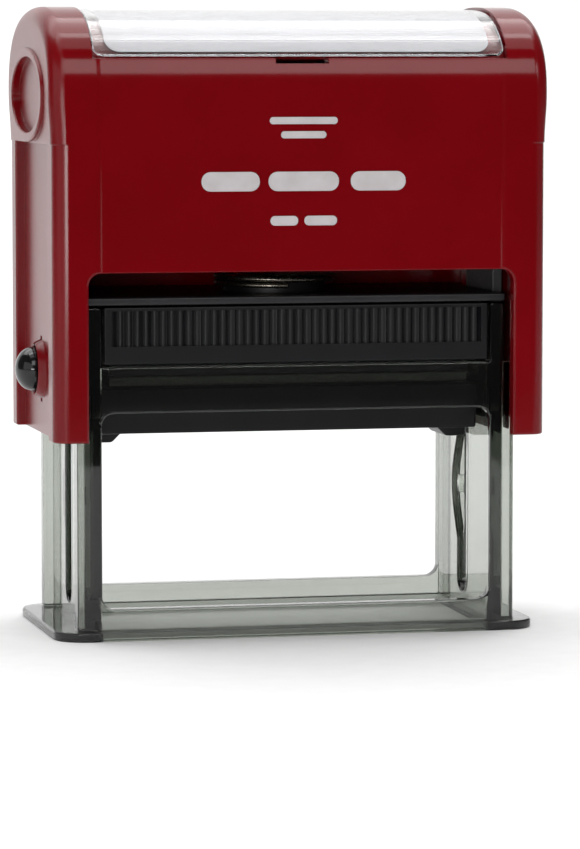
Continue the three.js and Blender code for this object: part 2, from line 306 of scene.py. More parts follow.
def mouldedPlastic(name, first, second, roughness, grainMm, grainDepth, blotchMm=9, level=0.5, edgeMm=0.0,
                   satinMm=0.0, satin=0.4):
    # plastic from a steel mould: faint colour drift, and the mould's own polish or spark grain in its surface;
    # past satinMm to the left and right the mould is only satin
    material, tree, shader, _, place = newMaterial(name)
    drift = noiseAt(tree, place, blotchMm, 2)
    grain = noiseAt(tree, place, grainMm, 4)
    tree.links.new(tint(tree, drift.outputs["Fac"], first, second), shader.inputs["Base Color"])
    gloss = spread(tree, grain.outputs["Fac"], roughness * 0.85, roughness * 1.2)
    if satinMm:
        across = node(tree, "ShaderNodeSeparateXYZ", links={0: place}).outputs[0]
        away = node(tree, "ShaderNodeMath", {"operation": "ABSOLUTE"}, {0: across}).outputs[0]
        ends = spread(tree, away, roughness, satin, satinMm * mmToM, (satinMm + 0.3) * mmToM)
        gloss = node(tree, "ShaderNodeMath", {"operation": "MAXIMUM"}, {0: gloss, 1: ends}).outputs[0]
    tree.links.new(gloss, shader.inputs["Roughness"])
    bump = relief(tree, grain.outputs["Fac"], grainDepth)
    if edgeMm:
        eased = node(tree, "ShaderNodeBevel", {"Radius": edgeMm * mmToM})
        tree.links.new(eased.outputs[0], bump.node.inputs["Normal"])
    tree.links.new(bump, shader.inputs["Normal"])
    shader.inputs["IOR"].default_value = 1.5
    shader.inputs["Specular IOR Level"].default_value = level
    return material


def clearPlastic(name, surface, density, absorb, roughness, waveMm, waveDepth, ior):
    # see-through moulding: light is absorbed along its way through, and the faces wave a little as moulded ones do
    material, tree, shader, output, place = newMaterial(name)
    wave = noiseAt(tree, place, waveMm, 1)
    shader.inputs["Base Color"].default_value = colour(surface)
    shader.inputs["Transmission Weight"].default_value = 1.0
    shader.inputs["IOR"].default_value = ior
    tree.links.new(spread(tree, wave.outputs["Fac"], roughness * 0.7, roughness * 1.4), shader.inputs["Roughness"])
    tree.links.new(relief(tree, wave.outputs["Fac"], waveDepth), shader.inputs["Normal"])
    if density:
        inside = node(tree, "ShaderNodeVolumeAbsorption", {"Color": colour(absorb), "Density": density})
        tree.links.new(inside.outputs[0], output.inputs["Volume"])
    return material


def metal(name, first, second, roughness, lineMm, stretch):
    # drawn or ground steel: fine lines along the drawing direction
    material, tree, shader, _, place = newMaterial(name)
    lines = noiseAt(tree, place, lineMm, 3, stretch)
    tree.links.new(tint(tree, lines.outputs["Fac"], first, second), shader.inputs["Base Color"])
    tree.links.new(spread(tree, lines.outputs["Fac"], roughness * 0.7, roughness * 1.4), shader.inputs["Roughness"])
    tree.links.new(relief(tree, lines.outputs["Fac"], 0.01), shader.inputs["Normal"])
    shader.inputs["Metallic"].default_value = 1.0
    return material


def fibrous(name, first, second, roughness, fibreMm, depth, sheen):
    # felt, paper or foam: a mat of fibres or cells
    material, tree, shader, _, place = newMaterial(name)
    mat = noiseAt(tree, place, fibreMm, 5, (2.5, 1, 1))
    cells = node(tree, "ShaderNodeTexVoronoi", {"Scale": 1000 / (fibreMm * 1.6)}, {"Vector": place})
    both = node(tree, "ShaderNodeMath", {"operation": "ADD"}, {0: mat.outputs["Fac"], 1: cells.outputs["Distance"]})
    tree.links.new(tint(tree, mat.outputs["Fac"], first, second), shader.inputs["Base Color"])
    tree.links.new(relief(tree, both.outputs[0], depth), shader.inputs["Normal"])
    shader.inputs["Roughness"].default_value = roughness
    shader.inputs["Sheen Weight"].default_value = sheen
    return material


def makeMaterials():
    made = {}
    # ABS, polished mould: deep even red, sharp reflections with a very faint orange peel
    made["redAbs"] = mouldedPlastic("polishedAbs", "6D0006", "74000A", 0.12, 2.2, 0.003, blotchMm=14, level=0.34,
                                    edgeMm=0.25, satinMm=37.4, satin=0.25)
    # styrene acrylonitrile, smoke grey: clear in thin walls, dark where one looks along them
    made["smokeSan"] = clearPlastic("smokeSan", "F0F3EE", 320, "8C9387", 0.02, 6, 0.006, 1.54)
    # acrylic window, clear and polished
    made["clearAcrylic"] = clearPlastic("clearAcrylic", "FFFFFF", 8, "E8F0F0", 0.02, 12, 0.004, 1.49)
    # ABS from a spark-eroded mould: black with a fine even grain, drawn coarser than real so that it shows
    made["blackAbs"] = mouldedPlastic("grainedAbs", "0E0E10", "141416", 0.34, 0.35, 0.01, level=0.24)
    # the same plastic with a finer grain, on the bridge
    made["fineAbs"] = mouldedPlastic("fineGrainedAbs", "161619", "1D1D20", 0.4, 0.3, 0.008, blotchMm=7, level=0.4)
    # polished black ABS of the buttons
    made["blackGloss"] = mouldedPlastic("polishedBlackAbs", "0C0C0D", "121214", 0.12, 1.2, 0.003, 4)
    # glass-filled nylon of the inner parts: dark grey, satin, with faint flow marks
    made["greyNylon"] = mouldedPlastic("filledNylon", "47484A", "57585A", 0.42, 0.5, 0.012, 5)
    # acetal bush, off-white and waxy
    made["acetal"] = mouldedPlastic("acetal", "DAD9D2", "E4E3DD", 0.35, 0.8, 0.006, 4)
    # hard-drawn spring wire
    made["springWire"] = metal("drawnWire", "8A8378", "BDB6A8", 0.28, 0.12, (1, 1, 1))
    # ground steel pins
    made["groundSteel"] = metal("groundSteel", "A9A9AB", "C6C6C8", 0.22, 0.1, (14, 1, 1))
    # ink-soaked wool felt, almost black with a violet cast
    made["inkedFelt"] = fibrous("inkedFelt", "14141F", "20202F", 0.85, 0.25, 0.12, 0.4)
    # closed-cell foam under the die
    made["foam"] = fibrous("closedCellFoam", "5B5B57", "6E6E69", 0.9, 0.4, 0.08, 0.1)
    # laser-cut rubber die, dark grey and chalky
    made["dieRubber"] = fibrous("laserCutRubber", "2C2D2F", "38393B", 0.72, 0.2, 0.02, 0.15)
    # coated card of the index label
    made["card"] = fibrous("coatedCard", "F1F1F6", "F8F8FB", 0.6, 0.18, 0.008, 0.0)
    # pad-printed light grey ink
    made["greyInk"] = mouldedPlastic("padInk", "B9B3B4", "C4BFC0", 0.4, 0.3, 0.004, 3)
    return made


capSizes = {
    "halfWidth": 39.3, "halfDepth": 21.0, "bottom": 31.2, "top": 98.5, "centre": 84.7, "power": 2.5,
    "edgeRound": 2.6, "wall": 2.1, "lobeInner": 33.0, "lobeBulge": 0.5, "lobeStep": 0.15, "lobeBottom": 77.2,
    "saddleDrop": 1.9, "windowFront": 90.4, "wallInner": 36.0, "openingHalf": 33.9, "openingTop": 57.4,
    "backOpeningTop": 51.4, "openingRound": 2.0, "openingShare": 0.996, "cutLow": 10, "grooveHalf": 15.2,
    "grooveDepth": 1.5, "edge": 0.28, "mouthRound": 0.25, "panelHalf": 32.8, "panelDeep": 0.16,
    "panelEase": 1.2, "notchHalf": 4.2, "notchDeep": 0.8,
}
ovalSizes = {"halfY": 14.6, "halfZ": 7.4, "innerY": 13.2, "innerZ": 5.95, "rise": 0.4, "depth": 1.3, "edge": 0.3}
buttonSizes = {
    "z": 41.4, "radius": 3.5, "hole": 3.8, "tip": 42.0, "collar": 39.2, "wallOut": 37.8, "shaft": 3.3,
    "shaftIn": 37.0, "neck": 2.5, "earIn": 35.0, "earThick": 0.7, "earHalf": 4.8, "earHalfZ": 2.4,
    "collarRadius": 4.7, "collarOut": 39.0, "keyHalf": 0.7, "keyReach": 5.2,
}


def archLoop(inset, low, drop=None, steps=96, rise=1):
    # side profile: upright sides under a superellipse |y/a|^n + |z/b|^n = 1, drawn in by inset and on top by drop
    c = capSizes
    drop = inset if drop is None else drop
    a = c["halfDepth"] - inset
    b = c["top"] - c["centre"] - drop
    angle = np.linspace(0, math.pi, steps + 1)
    y = np.sign(np.cos(angle)) * a * np.abs(np.cos(angle)) ** (2 / c["power"])
    z = c["centre"] + b * np.abs(np.sin(angle)) ** (2 / c["power"])
    up = np.linspace(low, c["centre"], rise + 1)[:-1]
    return np.concatenate([np.stack([-a + 0 * up, up[::-1]], 1), np.stack([a + 0 * up, up], 1), np.stack([y, z], 1)])


def panelSteps():
    # (x, inset) of the step between the panel and a lobe: the panel lies a little lower, on a cosine curve
    c = capSizes
    ease = np.linspace(0, 1, 9)
    x = c["panelHalf"] - c["panelEase"] * (1 - ease)
    return list(zip(x, c["panelDeep"] * (0.5 + 0.5 * np.cos(ease * math.pi))))


def archBar(name, halfWidth, low, radius, steps=12, slim=0.0):
    # arch profiles stacked along X, drawn in near the ends on a quarter circle; below the arch's centre the ends
    # lean in by slim on a sine curve, and the panel between them stays as it is
    turn = np.linspace(0, math.pi / 2, steps + 1)
    x = halfWidth - radius * (1 - np.sin(turn))
    inset = radius * (1 - np.cos(turn))
    side = panelSteps() + list(zip(x, inset))
    stations = [(-px, pi) for px, pi in side][::-1] + side
    loops = np.array([placed(archLoop(i, low, rise=8), "x", px) for px, i in stations])
    down = np.clip((capSizes["centre"] - loops[..., 2]) / (capSizes["centre"] - low), 0, 1)
    panel = capSizes["panelHalf"]
    outward = np.clip((np.abs(loops[..., 0]) - panel) / (halfWidth - panel), 0, 1)
    loops[..., 0] -= np.sign(loops[..., 0]) * slim * outward * np.sin(down * math.pi / 2) ** 2
    return stackLoops(name, loops, rungs=8)


def archCore(name, halfWidth, inset, low, drop):
    loop = archLoop(inset, low, drop)
    return stackLoops(name, [placed(loop, "x", -halfWidth), placed(loop, "x", halfWidth)])


def sideSpan(side, near, far):
    return (-far, -near) if side < 0 else (near, far)


def plan(inset, steps=12):
    # the cap's outline seen from above, drawn in by inset: quarter circles at its corners, and the panel's step
    c = capSizes
    halfY = c["halfDepth"] - inset
    corners = roundedRect(c["halfWidth"] - inset, -halfY, halfY, c["edgeRound"] - inset, steps).reshape(4, -1, 2)
    side = panelSteps()
    right = [(x, -halfY + drop) for x, drop in side]
    front = np.array([(-x, y) for x, y in right][::-1] + right)
    return np.concatenate([corners[0], -front, corners[1], corners[2], front, corners[3]])


def quarter(radius, steps=5):
    # (along, inset) pairs of a quarter circle that rounds an edge, from the end face to the full section
    turn = np.linspace(0, math.pi / 2, steps + 1)
    return np.stack([radius * (1 - np.cos(turn)), radius * (1 - np.sin(turn))], 1)


def mouthed(name, outlineAt, axis, deep, face, radius):
    # a cutter from deep to the face, whose mouth flares by a quarter circle so that the edge it cuts is rounded
    way = math.copysign(1, face - deep)
    loops = [placed(outlineAt(0), axis, deep)]
    for along, inset in quarter(radius)[::-1]:
        loops.append(placed(outlineAt(inset), axis, face - way * along))
    loops.append(placed(outlineAt(radius), axis, face + way))
    return stackLoops(name, loops)


def makeCap(materials):
    c, oval, push = capSizes, ovalSizes, buttonSizes
    bulge = c["halfWidth"] + c["lobeBulge"]
    body = archBar("capShell", bulge, c["lobeBottom"], c["edgeRound"], slim=c["lobeBulge"] - c["lobeStep"])
    edge = c["edge"]
    lower = [placed(plan(inset), "z", c["bottom"] + along) for along, inset in quarter(edge)]
    lower.append(placed(plan(0), "z", c["lobeBottom"]))
    rings = []
    for s in (-1, 1):
        top = bulge + oval["rise"]
        loops = [placed(ellipse(oval["halfY"], oval["halfZ"], c["centre"]), "x", s * (bulge - 1))]
        loops += [placed(ellipse(oval["halfY"] - inset, oval["halfZ"] - inset, c["centre"]), "x", s * (top - along))
                  for along, inset in quarter(oval["edge"])[::-1]]
        rings.append(stackLoops("oval", loops))
    join(body, stackLoops("pillars", lower), *rings)
    low = c["cutLow"]
    innerDepth = c["halfDepth"] - c["wall"]
    hollow = archCore("hollow", c["wallInner"], c["wall"], low, c["wall"] + c["saddleDrop"])
    overWindow = block("overWindow", (-c["lobeInner"], -c["halfDepth"] - 1, c["windowFront"]),
                       (c["lobeInner"], c["halfDepth"] + 1, c["top"] + 1))
    cut(overWindow, archCore("saddle", c["lobeInner"] + 1, c["saddleDrop"], low, c["saddleDrop"]))
    tools, collars, bores = [hollow, overWindow], [], []
    for face, top in ((-c["halfDepth"], c["openingTop"]), (c["halfDepth"], c["backOpeningTop"])):
        tools.append(mouthed("opening", lambda d, top=top: roundedRect(c["openingHalf"] + d, low, top + d,
                                                                      c["openingRound"] + d),
                             "y", math.copysign(innerDepth - 0.5, face), face * c["openingShare"], edge))
    for s in (-1, 1):
        side = s * c["halfWidth"]
        half = c["grooveHalf"]
        tools.append(mouthed("groove", lambda d: [(-half - d, low), (half + d, low), (half + d, c["lobeBottom"]),
                                                  (-half - d, c["lobeBottom"])],
                             "x", side - s * c["grooveDepth"], side, c["mouthRound"]))
        top = s * (bulge + oval["rise"])
        tools.append(mouthed("dish", lambda d: ellipse(oval["innerY"] + d, oval["innerZ"] + d, c["centre"]),
                             "x", top - s * oval["depth"], top, c["mouthRound"]))
        floor = push["wallOut"]
        bore = [(0, floor - 4), (push["hole"], floor - 4), (push["hole"], push["collarOut"] - 0.2),
                (push["hole"] + 0.2, push["collarOut"]), (push["hole"] + 0.2, push["collarOut"] + 1),
                (0, push["collarOut"] + 1)]
        bores.append(lathe("buttonBore", [(r, h * s) for r, h in bore], "x", (0, 0, push["z"])))
        rim = [(0, floor - 0.5), (push["collarRadius"], floor - 0.5), (push["collarRadius"], floor),
               (push["collarRadius"] - 0.2, floor + 0.5), (push["collarRadius"] - 0.5, push["collarOut"] - 0.15),
               (push["collarRadius"] - 0.65, push["collarOut"]), (0, push["collarOut"])]
        collars.append(lathe("buttonCollar", [(r, h * s) for r, h in rim], "x", (0, 0, push["z"])))
        x0, x1 = sideSpan(s, floor - 4, floor + 2)
        bores.append(block("keyhole", (x0, -push["keyHalf"], push["z"] - push["keyReach"]),
                           (x1, push["keyHalf"], push["z"] + push["keyReach"])))
    for face in (-1, 1):
        wall = face * c["halfDepth"]
        y0, y1 = sorted((wall + face, wall - face * 4))
        tools.append(block("thumbNotch", (-c["notchHalf"], y0, c["windowFront"] - c["notchDeep"]),
                           (c["notchHalf"], y1, c["windowFront"] + 1)))
    cut(body, *tools)
    join(body, *collars)
    cut(body, *bores)
    cleaned(body)
    print("cap")
    return finished(body, "cap", materials["redAbs"], ["outer_cap"], 30)


printSizes = {"deep": 0.12, "proud": 0.012, "markZ": 79.7, "wideZ": 71.4, "smallZ": 65.3}


def makePrint(materials):
    # plain pad-printed marks with no lettering: a small imprint sign and two rows of bars
    p = printSizes
    face = -capSizes["halfDepth"]
    bars = [(0.0, p["markZ"] + 1.1, 5.4, 0.55), (0.0, p["markZ"] - 1.1, 3.6, 0.55)]
    bars += [(x, p["wideZ"], half, 1.5) for x, half in ((-11.6, 4.6), (0.0, 5.6), (11.9, 4.4))]
    bars += [(x, p["smallZ"], half, 0.75) for x, half in ((-3.1, 2.2), (2.7, 2.6))]
    points, faces = [], []
    for x, z, half, tall in bars:
        loop = roundedRect(half, z - tall, z + tall, tall * 0.95, 6) + [x, 0]
        start = len(points)
        size = len(loop)
        points += placed(loop, "y", face - p["proud"]).tolist() + placed(loop, "y", face + p["deep"]).tolist()
        near = np.arange(size)
        far = (near + 1) % size
        faces += (start + np.stack([near, far, far + size, near + size], 1)).tolist()
        faces += [(start + near[::-1]).tolist(), (start + size + near).tolist()]
    marks = turnOut(meshObject("panelPrint", points, faces))
    return finished(marks, "cap", materials["greyInk"], [])


sheetSizes = {
    "coverReach": 32.7, "coverInset": 0.4, "coverThick": 0.9, "coverRound": 1.6,
    "cardReach": 30.6, "cardInset": 1.3, "cardThick": 0.3, "cardRound": 2.2, "cardFront": 91.2,
}


def bentSheet(name, reach, inset, thick, corner, front, across=72, along=96):
    # a sheet over the arch: u runs across it, v along the arch by equal steps; near its ends the half width
    # shrinks on a circle of radius corner, and the lower face is the same grid drawn in by thick
    c = capSizes
    upper, lower = [], []
    for drop, store in ((inset, upper), (inset + thick, lower)):
        a = c["halfDepth"] - drop
        b = c["top"] - c["centre"] - drop
        z = np.linspace(front, c["centre"] + b, 1500)
        y = a * (1 - np.clip((z - c["centre"]) / b, 0, 1) ** c["power"]) ** (1 / c["power"])
        line = np.concatenate([np.stack([-y, z], 1), np.stack([y, z], 1)[::-1][1:]])
        way = np.concatenate([[0], np.cumsum(np.hypot(*np.diff(line, axis=0).T))])
        even = np.linspace(0, 1, along + 1)
        even = 0.5 - 0.5 * np.cos(even * math.pi) * (1 - 0.55 * np.sin(even * math.pi) ** 2)
        at = even * way[-1]
        py, pz = np.interp(at, way, line[:, 0]), np.interp(at, way, line[:, 1])
        edge = np.minimum(at, way[-1] - at)
        half = reach - corner + np.sqrt(np.clip(corner ** 2 - np.clip(corner - edge, 0, None) ** 2, 0, None))
        u = np.linspace(-1, 1, across + 1)
        wide = np.ones(across + 1)
        store.append(np.stack([np.outer(half, u), np.outer(py, wide), np.outer(pz, wide)], 2))
    grid = np.stack([upper[0], lower[0]])
    rows, columns = along + 1, across + 1
    index = np.arange(2 * rows * columns).reshape(2, rows, columns)

    def quads(block):
        return np.stack([block[:-1, :-1], block[:-1, 1:], block[1:, 1:], block[1:, :-1]], 2).reshape(-1, 4)

    rim = [index[:, 0, :], index[:, -1, :], index[:, :, 0], index[:, :, -1]]
    faces = np.concatenate([quads(index[0]), quads(index[1])] + [quads(r) for r in rim])
    return turnOut(meshObject(name, grid.reshape(-1, 3), faces.tolist()))


def makeWindow(materials):
    s = sheetSizes
    front = capSizes["windowFront"] + 0.3
    cover = bentSheet("windowCover", s["coverReach"], s["coverInset"], s["coverThick"], s["coverRound"], front)
    softened(cover, 0.2, 2, 50)
    finished(cover, "window", materials["clearAcrylic"], ["window_cover"])
    card = bentSheet("indexCard", s["cardReach"], s["cardInset"], s["cardThick"], s["cardRound"], s["cardFront"])
    return finished(card, "cap", materials["card"], ["index_card"])


frameSizes = {
    "plateIn": 31.2, "plateOut": 33.6, "halfDepth": 17.0, "wall": 2.4, "top": 51.9, "beamLow": 35.4,
    "beamHigh": 42.6, "skirtHigh": 4.8, "footThick": 1.5, "footHalfX": 38.6, "footHalfY": 19.3, "footRound": 5.0,
    "railOut": 35.1, "railDepth": 3.0, "openingRound": 2.0, "slotHalf": 2.5, "edge": 0.3,
}
motion = {"travel": 29.4, "axleZ": 36.0, "flipRadius": 4.4, "trackRadius": 1.6, "trackDepth": 1.2}


def trackOutline(steps=40, cap=10):
    # outline of the flip pin's way: its centre line y = r sin t, z = z0 - travel t / pi - r cos t, offset both sides
    m = motion
    t = np.linspace(0, math.pi, steps + 1)
    line = np.stack([m["flipRadius"] * np.sin(t),
                     m["axleZ"] - m["travel"] * t / math.pi - m["flipRadius"] * np.cos(t)], 1)
    ahead = np.gradient(line, axis=0)
    ahead /= np.linalg.norm(ahead, axis=1)[:, None]
    aside = np.stack([-ahead[:, 1], ahead[:, 0]], 1) * m["trackRadius"]
    turn = np.linspace(0, math.pi, cap + 2)[1:-1][:, None]
    endCap = line[-1] + aside[-1] * np.cos(turn) + ahead[-1] * m["trackRadius"] * np.sin(turn)
    startCap = line[0] - aside[0] * np.cos(turn) - ahead[0] * m["trackRadius"] * np.sin(turn)
    return np.concatenate([line + aside, endCap, (line - aside)[::-1], startCap])


def makeFrame(materials):
    f, m = frameSizes, motion
    footPlan = roundedRect(f["footHalfX"], -f["footHalfY"], f["footHalfY"], f["footRound"])
    foot = prism("baseFrameBody", footPlan, "z", 0, f["footThick"])
    innerDepth = f["halfDepth"] - f["wall"]
    walls = block("walls", (-f["plateIn"], -f["halfDepth"], 0), (f["plateIn"], f["halfDepth"], f["beamHigh"]))
    opening = prism("opening", roundedRect(f["plateIn"], f["skirtHigh"], f["beamLow"], f["openingRound"]), "y",
                    -f["halfDepth"] - 1, f["halfDepth"] + 1)
    cut(walls, opening)
    adds = [walls]
    for s in (-1, 1):
        x0, x1 = sideSpan(s, f["plateIn"], f["plateOut"])
        adds.append(block("plate", (x0, -f["halfDepth"], 0), (x1, f["halfDepth"], f["top"])))
        x0, x1 = sideSpan(s, f["plateOut"], f["railOut"])
        inner = f["halfDepth"] - f["railDepth"]
        for y0, y1 in ((-f["halfDepth"], -inner), (inner, f["halfDepth"])):
            adds.append(block("rail", (x0, y0, 0), (x1, y1, f["beamHigh"])))
    join(foot, *adds)
    tools = [block("well", (-f["plateIn"], -innerDepth, -1), (f["plateIn"], innerDepth, f["beamHigh"] + 20))]
    low = m["axleZ"] - m["travel"] - f["slotHalf"]
    slot = roundedRect(f["slotHalf"], low, m["axleZ"] + f["slotHalf"], f["slotHalf"] - 0.01, 8)
    for s in (-1, 1):
        slotSpan = sideSpan(s, f["plateIn"] - 1, f["plateOut"] + 2)
        trackSpan = sideSpan(s, f["plateIn"] - 1, f["plateIn"] + m["trackDepth"])
        tools.append(prism("slot", slot, "x", *slotSpan))
        tools.append(prism("track", trackOutline(), "x", *trackSpan))
    cut(foot, *tools)
    softened(foot, f["edge"])
    for vertex in foot.data.vertices:
        vertex.co.z = max(vertex.co.z, 0)
    print("base frame")
    return finished(foot, "base", materials["smokeSan"], ["base_frame"], 30)


bridgeSizes = {
    "low": 52.2, "high": 53.4, "halfX": 33.6, "halfY": 17.2, "post": 8.25, "postWall": 1.5, "postHigh": 55.2,
}
traySizes = {
    "low": 43.0, "high": 51.9, "halfX": 30.8, "halfY": 16.9, "wall": 1.3, "feltHalf": 13.3,
    "ribPitch": 1.35, "ribDeep": 0.5, "ribLow": 45.8, "ribHigh": 51.3, "edge": 0.25,
}
springSizes = {
    "mean": 9.35, "wire": 0.4, "turns": 8.0, "low": 54.1, "high": 87.6, "closedTurns": 1.5, "closedPitch": 1.0,
}


def makeBridge(materials):
    b = bridgeSizes
    bridge = block("topBridge", (-b["halfX"], -b["halfY"], b["low"]), (b["halfX"], b["halfY"], b["high"]))
    softened(bridge, 0.3)
    post = lathe("post", ringProfile(b["post"] - b["postWall"], b["post"], b["high"] - 0.3, b["postHigh"], 0.25), "z",
                 (0, 0, 0), 96)
    join(bridge, post)
    return finished(bridge, "base", materials["fineAbs"], ["top_bridge"])


def ribbedCutter(name, face, halfX, pitch, deep, low, high):
    # a comb of rounded hollows: depth = deep * |cos(pi x / pitch)|, between the grip's ribs
    x = np.linspace(-halfX, halfX, int(2 * halfX / pitch) * 10 + 1)
    wave = deep * np.abs(np.cos(math.pi * x / pitch)) ** 0.7
    s = math.copysign(1, face)
    outline = np.concatenate([np.stack([x, face - s * wave], 1), [(halfX, face + s), (-halfX, face + s)]])
    return prism(name, outline, "z", low, high)


def makePad(materials):
    t = traySizes
    tray = block("inkPadTray", (-t["halfX"], -t["halfY"], t["low"]), (t["halfX"], t["halfY"], t["high"]))
    inside = t["halfX"] - t["wall"]
    cut(tray, block("inside", (-inside, -t["feltHalf"], t["low"] - 1), (inside, t["feltHalf"], t["high"] - t["wall"])))
    softened(tray, t["edge"])
    reach = t["halfX"] - 1.1
    cut(tray, *[ribbedCutter("ribs", s * t["halfY"], reach, t["ribPitch"], t["ribDeep"], t["ribLow"], t["ribHigh"])
                for s in (-1, 1)])
    finished(tray, "base", materials["blackAbs"], ["ink_pad_tray"], 40)
    low, high = boxOf("ink_felt")
    felt = block("inkFelt", low, high)
    softened(felt, 0.4)
    return finished(felt, "base", materials["inkedFelt"], ["ink_felt"])


def makeSpring(materials, sides=14, perTurn=48):
    # a wire circle carried along a helix; the rise is slow in the closed end turns and even between them
    p = springSizes
    steps = int(p["turns"] * perTurn)
    turn = np.linspace(0, p["turns"], steps + 1)
    low, high = p["low"] + p["wire"], p["high"] - p["wire"]
    closed = p["closedTurns"]
    lift = closed * p["closedPitch"]
    rise = np.interp(turn, [0, closed, p["turns"] - closed, p["turns"]], [low, low + lift, high - lift, high])
    smooth = 10
    kernel = np.ones(2 * smooth + 1) / (2 * smooth + 1)
    padded = np.concatenate([np.full(smooth, rise[0]), rise, np.full(smooth, rise[-1])])
    rise = np.convolve(padded, kernel, "valid")
    angle = -turn * 2 * math.pi - math.pi / 2
    path = np.stack([p["mean"] * np.cos(angle), p["mean"] * np.sin(angle), rise], 1)
    ahead = np.gradient(path, axis=0)
    ahead /= np.linalg.norm(ahead, axis=1)[:, None]
    out = np.stack([np.cos(angle), np.sin(angle), np.zeros(len(angle))], 1)
    up = np.cross(ahead, out)
    across = np.arange(sides) / sides * 2 * math.pi
    ring = np.cos(across)[None, :, None] * out[:, None, :] + np.sin(across)[None, :, None] * up[:, None, :]
    coil = stackLoops("returnSpring", path[:, None, :] + ring * p["wire"])
    finished(coil, "base", materials["springWire"], ["return_spring"])
    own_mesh(coil)
    return coil


platenSizes = {
    "halfX": 30.6, "halfY": 11.0, "back": 4.3, "front": 2.9, "lugDrop": 6.2, "lugHalfY": 4.6, "lugIn": 25.4,
    "axleHole": 1.8, "axleFrom": 27.0, "pinHole": 1.5, "pinFrom": 28.0, "edge": 0.35, "pocketX": 9.2,
    "pocketY": 7.6, "pocketPitch": 9.9, "pocketFrom": -24.4, "pocketDeep": 1.2,
}
dieSizes = {
    "halfX": 29.0, "halfY": 10.0, "face": 42.55, "relief": 0.35, "thick": 1.3, "edge": 0.12, "rimOut": 0.3,
    "rimIn": 1.1, "rowPitch": 5.4, "rowHalf": 1.2,
}
yokeSizes = {
    "inner": 34.0, "outer": 35.6, "armHalf": 8.0, "plateHalf": 11.6, "plateLow": 88.0, "plateThick": 1.8,
    "cupDeep": 3.0, "low": 33.0, "edge": 0.25, "windowHalf": 2.8,
}


def makePlaten(materials):
    p, m = platenSizes, motion
    z = m["axleZ"]
    back = z - p["back"]
    body = block("platenPlate", (-p["halfX"], -p["halfY"], back), (p["halfX"], p["halfY"], z + p["front"]))
    slope = p["lugDrop"] - p["back"]
    lugs = []
    for s in (-1, 1):
        outline = np.array([(p["lugIn"] - 0.3, back + 0.3), (p["lugIn"], back), (p["lugIn"] + slope, back - slope),
                            (p["halfX"], back - slope), (p["halfX"], back + 0.3)]) * [s, 1]
        lugs.append(prism("lug", outline, "y", -p["lugHalfY"], p["lugHalfY"]))
    join(body, *lugs)
    pockets = [block("pocket", (x0, y0, back - 1), (x0 + p["pocketX"], y0 + p["pocketY"], back + p["pocketDeep"]))
               for x0 in np.arange(p["pocketFrom"], 20, p["pocketPitch"]) for y0 in (-8.4, 0.8)]
    cut(body, *pockets)
    softened(body, p["edge"])
    holes = []
    for s in (-1, 1):
        axleBar = pinProfile(p["axleHole"], *sideSpan(s, p["axleFrom"], 40), 0.1)
        pinBar = pinProfile(p["pinHole"], *sideSpan(s, p["pinFrom"], 40), 0.1)
        holes.append(lathe("axleHole", axleBar, "x", (0, 0, z)))
        holes.append(lathe("pinHole", pinBar, "x", (0, 0, z - m["flipRadius"])))
    cut(body, *holes)
    finished(body, "platen_unit", materials["blackAbs"], ["platen"])
    low, high = boxOf("die_foam")
    foam = softened(block("dieFoam", low, high), 0.2)
    return finished(foam, "platen_unit", materials["foam"], ["die_foam"])


def makeDie(materials):
    d = dieSizes
    ground = d["face"] - d["relief"]
    die = block("rubberDie", (-d["halfX"], -d["halfY"], ground - d["thick"]), (d["halfX"], d["halfY"], ground))

    def inset(name, by, low, high):
        x, y = d["halfX"] - by, d["halfY"] - by
        return block(name, (-x, -y, low), (x, y, high))

    rim = inset("rim", d["rimOut"], ground - 0.1, d["face"])
    cut(rim, inset("inner", d["rimIn"], ground - 1, d["face"] + 1))
    bars = []
    for row, half in ((-1, 18), (0, 24), (1, 14)):
        y = row * d["rowPitch"]
        outline = roundedRect(half, y - d["rowHalf"], y + d["rowHalf"], d["rowHalf"] / 2, 6)
        bars.append(prism("bar", outline, "z", ground - 0.1, d["face"]))
    join(die, rim, *bars)
    softened(die, d["edge"], 2)
    return finished(die, "platen_unit", materials["dieRubber"], ["rubber_die"])


def makeYoke(materials):
    y, push = yokeSizes, buttonSizes
    s = springSizes
    top = y["plateLow"] + y["plateThick"]
    plate = block("driveYoke", (-y["outer"], -y["plateHalf"], y["plateLow"]), (y["outer"], y["plateHalf"], top))
    arms = []
    for side in (-1, 1):
        x0, x1 = sideSpan(side, y["inner"], y["outer"])
        arms.append(block("arm", (x0, -y["armHalf"], y["low"]), (x1, y["armHalf"], y["plateLow"] + 0.4)))
    join(plate, *arms)
    tools = []
    for side in (-1, 1):
        x0, x1 = sideSpan(side, y["inner"] - 1, y["outer"] + 1)
        reach = push["earHalf"] + 0.3
        tools.append(block("buttonWindow", (x0, -reach, push["z"] - y["windowHalf"]),
                           (x1, reach, push["z"] + y["windowHalf"])))
        tools.append(lathe("axleHole", pinProfile(platenSizes["axleHole"], x0, x1, 0.1), "x",
                           (0, 0, motion["axleZ"]), 40))
    cut(plate, *tools)
    softened(plate, y["edge"])
    cupIn = s["mean"] + s["wire"] + 0.6
    cup = lathe("cup", ringProfile(cupIn, cupIn + 1.2, y["plateLow"] - y["cupDeep"], y["plateLow"] + 0.5, 0.2), "z",
                (0, 0, 0), 96)
    join(plate, cup)
    print("platen, die and yoke")
    return finished(plate, "cap", materials["greyNylon"], ["drive_yoke"])


